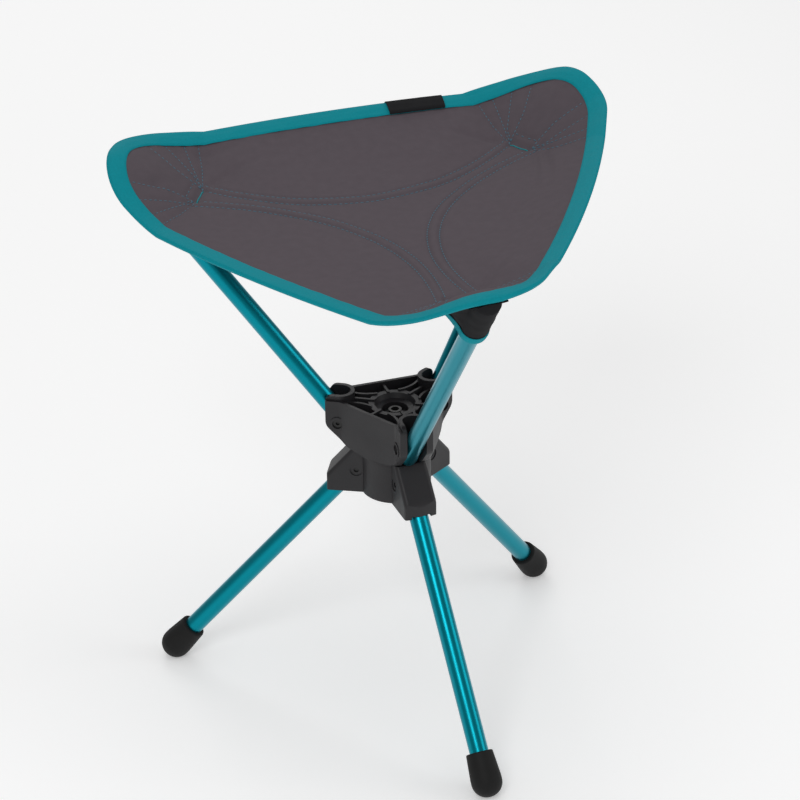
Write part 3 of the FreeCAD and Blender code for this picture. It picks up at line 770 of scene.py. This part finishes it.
class CAMPSTOOL_OT_binding(Operator):
    """Makes the tape over the seat's edge, and the label folded over it"""

    bl_idname = "camp_stool.binding"
    bl_label = "Edge Binding and Label"

    def execute(self, context):
        sizes = context.scene.camp_stool_sizes
        shape = SeatShape(sizes)
        section = band_section(sizes, sizes.band, 0.0)
        for corner in CORNERS:
            turns = (-HALF_SECTOR, HALF_SECTOR)
            bm, length, width = edge_tape(shape, sizes, corner, turns, section, TAPE_GRID)
            piece = new_piece("edge_binding_" + corner, bm, "teal_tape")
            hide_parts("seat_binding")
            shape.bend(piece, corner)
        section = band_section(sizes, sizes.band + 0.0005, sizes.tape * 3.0)
        turns = tuple(math.radians(a) for a in LABEL_SPAN)
        bm, length, width = edge_tape(shape, sizes, "right", turns, section, LABEL_GRID)
        piece = new_piece("edge_label", bm, "black_fabric")
        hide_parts("seat_label")
        shape.bend(piece, "right")
        return {"FINISHED"}


def sew(bm, points, pitch, stitch, radius):
    """Lays stitches along a line of points."""
    count = int(length_of(points) / pitch)
    for i in range(count):
        middle = (i + 0.5) / count
        here = along(points, middle)
        ahead = along(points, middle + 0.25 / count) - along(points, middle - 0.25 / count)
        run = ahead.normalized()
        side = run.cross(UP).normalized()
        over = side.cross(run)
        turn = Matrix((side * radius, over * radius, run * stitch / 2)).transposed().to_4x4()
        bmesh.ops.create_uvsphere(
            bm, u_segments=6, v_segments=4, radius=1.0, matrix=Matrix.Translation(here) @ turn
        )


class CAMPSTOOL_OT_stitching(Operator):
    """Sews the quilting lines, the corners' seams and tacks, and the bindings' edges"""

    bl_idname = "camp_stool.stitching"
    bl_label = "Stitching"

    def execute(self, context):
        sizes = context.scene.camp_stool_sizes
        shape = SeatShape(sizes)
        for corner in CORNERS:
            bm = bmesh.new()
            for mirror in (-1, 1):
                for line in QUILT_LINES:
                    points = []
                    for i in range(81):
                        side = QUILT_END * i / 80
                        reach = line + QUILT_BOW * side**2
                        turn = HALF_SECTOR - math.atan2(side, reach)
                        far = math.hypot(side, reach)
                        out, across = far * math.cos(turn), mirror * far * math.sin(turn)
                        points.append(shape.on_top(corner, out, across, 0.00012))
                    sew(bm, points, *QUILT_STITCH)
                for seam in CORNER_SEAMS:
                    points = [along(seam, i / 30) for i in range(31)]
                    points = [shape.on_top(corner, p.x, mirror * p.y, 0.0001) for p in points]
                    sew(bm, points, *SEAM_STITCH)
            piece = new_piece("quilting_stitches_" + corner, bm, "thread", 180)
            shape.bend(piece, corner)

            bm = bmesh.new()
            points = [
                shape.on_top(corner, TACK_OUT, TACK_HALF * (i / 10 - 1), 0.0002) for i in range(21)
            ]
            sew(bm, points, *TACK_STITCH)
            points = []
            for i in range(161):
                turn = HALF_SECTOR * (i / 80 - 1)
                rim, out = shape.outward(turn)
                spot = rim - out * (sizes.band - 0.002)
                height = shape.sling(corner, spot.x, spot.y) + sizes.tape * 1.25
                points.append(shape.place(corner, spot.x, spot.y, height))
            sew(bm, points, *BINDING_STITCH)
            piece = new_piece("binding_stitches_" + corner, bm, "tack_thread", 180)
            shape.bend(piece, corner)
        return {"FINISHED"}


class PocketShape:
    """A bag under one corner, round the arm's tip and open towards the middle."""

    start = 0.186
    end = 0.2265
    radius = 0.0080
    wall_share = 0.42
    seam = ((0.137, 0.0150), (0.153, 0.0170), (0.167, 0.0175), (0.178, 0.0120))

    def __init__(self, shape, sizes, corner):
        self.shape = shape
        self.corner = corner
        self.drop = sizes.cloth * 1.6 + 0.0012
        run = (ARM_TIP - ARM_PIVOT).normalized()
        self.run = run
        self.away = Vector((run.y, -run.x))

    def spot(self, share, round_share, grow=0.0):
        """Point at a share along the arm and round the bag, from -1 to 1."""
        side = math.copysign(1, round_share)
        turn = abs(round_share)
        middle = ARM_PIVOT + self.run * (self.start + (self.end - self.start) * share)
        radius = self.radius + grow
        seam = along(self.seam, min(max(share, 0), 1))
        seam_across = seam.y + grow
        seam_up = self.shape.top(self.corner, seam.x, side * seam_across) - self.drop
        seam_out = seam.x + (share - min(max(share, 0), 1)) * 0.03
        if turn <= self.wall_share:
            angle = turn / self.wall_share * math.pi / 2
            flat = middle + self.away * radius * math.cos(angle)
            return Vector((flat.x, side * radius * math.sin(angle), flat.y))
        rise = (turn - self.wall_share) / (1 - self.wall_share)
        out = middle.x + (seam_out - middle.x) * rise
        up = middle.y + (seam_up - middle.y) * rise
        across = radius + (seam_across - radius) * (0.35 * rise + 0.65 * rise**1.8)
        return Vector((out, side * across, up))

    def closing(self, round_share):
        """Where the bag's end is sewn to the seat's edge."""
        across = 0.0125 * math.sin(round_share * math.pi / 2)
        turn = math.atan2(across, self.shape.tip)
        out = self.shape.edge(turn) * math.cos(turn) - 0.0012
        return Vector((out, across, self.shape.top(self.corner, out, across) - self.drop))

    def put(self, u, v):
        """Point of the whole bag, from its mouth at v 0 to its sewn end at v 1."""
        round_share = 1 - 2 * u
        body = 0.86
        spot = self.spot(min(v / body, 1.0), round_share)
        if v > body:
            spot = spot.lerp(self.closing(round_share), smooth((v - body) / (1 - body)) * 0.999)
        crumple = noise.noise(Vector((spot.x * 110, spot.y * 70, spot.z * 110)))
        inner = smooth((1 - abs(round_share)) * 6) * smooth(v * 8) * smooth((1 - v) * 8)
        spot.y += 0.0009 * crumple * inner
        spot.z += 0.0006 * crumple * inner
        return self.shape.place(self.corner, spot.x, spot.y, spot.z)


class CAMPSTOOL_OT_pockets(Operator):
    """Makes the bags that hold the arms' tips, with their bound mouths"""

    bl_idname = "camp_stool.pockets"
    bl_label = "Pockets"

    def execute(self, context):
        sizes = context.scene.camp_stool_sizes
        shape = SeatShape(sizes)
        for corner in CORNERS:
            pocket = PocketShape(shape, sizes, corner)
            bm = strip(*POCKET_GRID, pocket.put, (0.062, 0.052), 0.0009)
            piece = new_piece("tip_pocket_" + corner, bm, "black_fabric", 60)
            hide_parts("seat_pocket_" + corner)
            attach(piece, "arm_" + corner)

            section = (
                (0.15, 0.0010),
                (0.08, 0.0013),
                (0.0, 0.0011),
                (-0.02, 0.0),
                (0.0, -0.0008),
                (0.14, -0.0004),
            )

            def put(u, v):
                share, grow = along(section, 1 - v)
                spot = pocket.spot(share, (1 - 2 * u) * 0.985, grow)
                return shape.place(corner, spot.x, spot.y, spot.z)

            bm = strip(*MOUTH_GRID, put, (0.062, 0.014), 0.0004)
            piece = new_piece("pocket_binding_tape_" + corner, bm, "teal_tape", 60)
            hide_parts("pocket_binding_" + corner)
            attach(piece, "arm_" + corner)
        return {"FINISHED"}


class CAMPSTOOL_PT_sidebar(Panel):
    """Lists the stool's pieces"""

    bl_idname = "CAMPSTOOL_PT_sidebar"
    bl_label = "Camp Stool"
    bl_space_type = "VIEW_3D"
    bl_region_type = "UI"
    bl_category = "Camp Stool"

    def draw(self, context):
        for group in (context.scene.camp_stool_sizes, context.scene.camp_stool_colours):
            for name in group.__annotations__:
                self.layout.prop(group, name)
        for operator in STEPS:
            self.layout.operator(operator.bl_idname)


STEPS = (
    CAMPSTOOL_OT_stage,
    CAMPSTOOL_OT_finishes,
    CAMPSTOOL_OT_seat,
    CAMPSTOOL_OT_binding,
    CAMPSTOOL_OT_stitching,
    CAMPSTOOL_OT_pockets,
)
CLASSES = (CampStoolSizes, CampStoolColours, *STEPS, CAMPSTOOL_PT_sidebar)


def register():
    """Adds the panel, the steps and the settings."""
    for item in CLASSES:
        bpy.utils.register_class(item)
    bpy.types.Scene.camp_stool_sizes = PointerProperty(type=CampStoolSizes)
    bpy.types.Scene.camp_stool_colours = PointerProperty(type=CampStoolColours)


def unregister():
    """Takes them away again."""
    del bpy.types.Scene.camp_stool_colours
    del bpy.types.Scene.camp_stool_sizes
    for item in reversed(CLASSES):
        bpy.utils.unregister_class(item)


def main():
    """Builds the stool over its frame."""
    register()
    bpy.ops.camp_stool.stage()
    bpy.ops.camp_stool.finishes()
    bpy.ops.camp_stool.seat()
    bpy.ops.camp_stool.binding()
    bpy.ops.camp_stool.stitching()
    bpy.ops.camp_stool.pockets()


if __name__ == "__main__":
    main()
